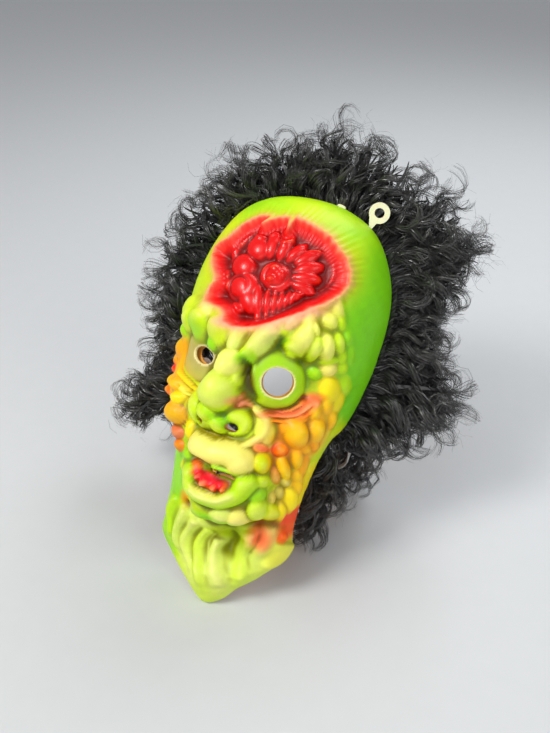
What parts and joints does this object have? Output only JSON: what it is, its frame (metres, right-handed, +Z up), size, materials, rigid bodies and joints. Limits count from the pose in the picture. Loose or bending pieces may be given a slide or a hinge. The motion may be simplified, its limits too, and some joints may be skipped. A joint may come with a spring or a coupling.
{
  "type": "zombie mask",
  "caption": "Lime green vinyl zombie face mask with an open red brain, lumpy yellow skin, curly black hair and an elastic strap.",
  "frame": {"origin": "centre of the box's base, on the surface that the mask stands on", "axes": "+X to the viewer's right, +Y to the back, +Z up; the face looks toward -Y and leans back 26 degrees"},
  "size_m": [0.3074, 0.2866, 0.3198],
  "materials": {
    "vinyl": "painted vinyl, satin",
    "hair": "glossy synthetic curls",
    "bare_vinyl": "unpainted cream vinyl",
    "elastic": "white knit elastic"
  },
  "bodies": {
    "root": {"mask_shell": "vinyl", "hair": "hair", "hang_tab": "bare_vinyl", "rim_stub": "bare_vinyl", "elastic_strap": "elastic"}
  },
  "joints": []
}
